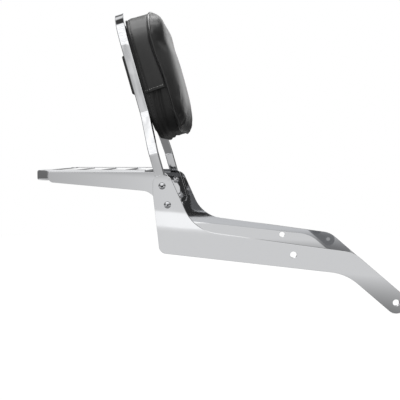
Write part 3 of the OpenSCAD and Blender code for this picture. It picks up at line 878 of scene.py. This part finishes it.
def sew(name, spots, grain, lift):
    """Puts one copy of the grain on the cover between each pair of spots, and joins them."""
    made = []
    for start, end in spots:
        hit, at, normal, index = pad.closest_point_on_mesh((start + end) / 2)
        along = (end - start).normalized()
        up = (normal - along * normal.dot(along)).normalized()
        turn = Matrix((up.cross(along), up, along)).transposed().to_4x4()
        one = bpy.data.objects.new(name, grain.copy())
        one.data.transform(Matrix.Translation(at + up * lift) @ turn)
        scene.collection.objects.link(one)
        made.append(one)
    select_only(*made)
    if len(made) > 1:
        bpy.ops.object.join()
    bpy.ops.object.shade_smooth()
    return bpy.context.view_layer.objects.active


def on_line(points, pitch, filled):
    """Cuts a line of points into stitches of a given pitch, each filling that part of it."""
    lengths = [0.0]
    for a, b in zip(points, points[1:]):
        lengths.append(lengths[-1] + (b - a).length)

    def at(s):
        for i in range(1, len(points)):
            if s <= lengths[i] or i == len(points) - 1:
                t = (s - lengths[i - 1]) / (lengths[i] - lengths[i - 1])
                return points[i - 1].lerp(points[i], t)

    count = int(lengths[-1] / pitch)
    starts = [(i + 0.5 * (1 - filled)) * pitch for i in range(count)]
    return [(at(s), at(s + pitch * filled)) for s in starts]


print("points to sew on", len(pad.data.vertices))

# %% Stitches along the lap
LAP_STITCH_UP = 3.0 * MM
LAP_PITCH, LAP_FILLED = 2.9 * MM, 0.72
lap_grain = stitch_mesh(2.3 * MM, 0.75 * MM)
sewn = []
for hand, way in (("right", -1), ("left", 1)):
    row = []
    for n in (pad_back + MM, seam_n - 2.5 * MM):
        v = LAP_V + LAP_STITCH_UP + LAP_SLOPE * (n - pad_back - BOXING / 2)
        row.append(Vector((n, way * PAD_W / 2, v)))
    sewn.append(sew(f"lap_stitches_{hand}", on_line(row, LAP_PITCH, LAP_FILLED), lap_grain, 0))
print("lap stitches", sum(len(s.data.vertices) for s in sewn) // len(lap_grain.vertices))

# %% [markdown]
# The second line of stitches runs all round, a few millimetres from the back edge, in black thread. One loose
# end of the grey thread shows under the lower front corner.

# %% Stitches round the back edge
BACK_PITCH, BACK_FILLED = 4.0 * MM, 0.65
back_grain = stitch_mesh(2.6 * MM, 0.6 * MM)
quarter = [i * math.pi / 24 for i in range(13)]
corner_y, corner_z = PAD_W / 2 - PAD_R, PAD_H / 2 - PAD_R
ring = []
for turn, side_y, side_z in ((0, 1, 1), (1, -1, 1), (2, -1, -1), (3, 1, -1)):
    for a in quarter:
        b = a + turn * math.pi / 2
        y, z = side_y * corner_y + PAD_R * math.cos(b), side_z * corner_z + PAD_R * math.sin(b)
        ring.append(Vector((STITCH_N, y, pad_mid + z)))
ring.append(ring[0].copy())
back_stitches = sew("back_edge_stitches", on_line(ring, BACK_PITCH, BACK_FILLED), back_grain, 0.05 * MM)
print("back edge stitches", len(back_stitches.data.vertices) // len(back_grain.vertices))

# %% Loose end of the thread
end_from = Vector((seam_n + 5 * MM, -86 * MM, 62 * MM))
end_to = Vector((seam_n + 11 * MM, -86 * MM, 63 * MM))
end_grain = stitch_mesh((end_to - end_from).length, 0.8 * MM)
thread_end = sew("loose_thread_end", [(end_from, end_to)], end_grain, 0.3 * MM)
print("thread end", round((end_to - end_from).length / MM, 1), "mm long")

# %% [markdown]
# Everything so far stands upright in the hoop's frame. Now each piece of the pad is laid back with the hoop,
# gets its finish, joins the body, and is put where the lamps reach it. The slack boxing under the lap is part of
# the cover's mesh, so its faces take the matt vinyl, with its painted shade, by a second material slot.


# %% Join the pad to the rest
CREASE_ANGLE = math.radians(50)


def hand_in_pad_piece(piece, finish):
    piece.data.transform(hoop_to_row)
    piece.data.materials.clear()
    piece.data.materials.append(finish)
    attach(piece, "root")
    soft_parts.objects.link(piece)


def is_slack(at):
    on_boxing = pad_back + MM < at.x < seam_n - 3 * MM and inside_by(at) < 12 * MM
    return on_boxing and over_lap(at) < -LAP_GAP / 2


select_only(pad)
bpy.ops.object.shade_smooth_by_angle(angle=CREASE_ANGLE)
slack = [is_slack(face.center) for face in pad.data.polygons]
hand_in_pad_piece(pad, vinyl)
# the matt vinyl's darker colour is painted shade under the lap
pad.data.materials.append(matt_vinyl_in_painted_shade)
for face, is_matt in zip(pad.data.polygons, slack):
    face.material_index = int(is_matt)
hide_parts("pad_cushion")
# the piping's lighter vinyl colour is a painted highlight
hand_in_pad_piece(piping, cord_vinyl_painted_highlight)
hand_in_pad_piece(back_stitches, black_thread)
for one in (*sewn, thread_end):
    hand_in_pad_piece(one, grey_thread)
print("pad pieces", 4 + len(sewn))
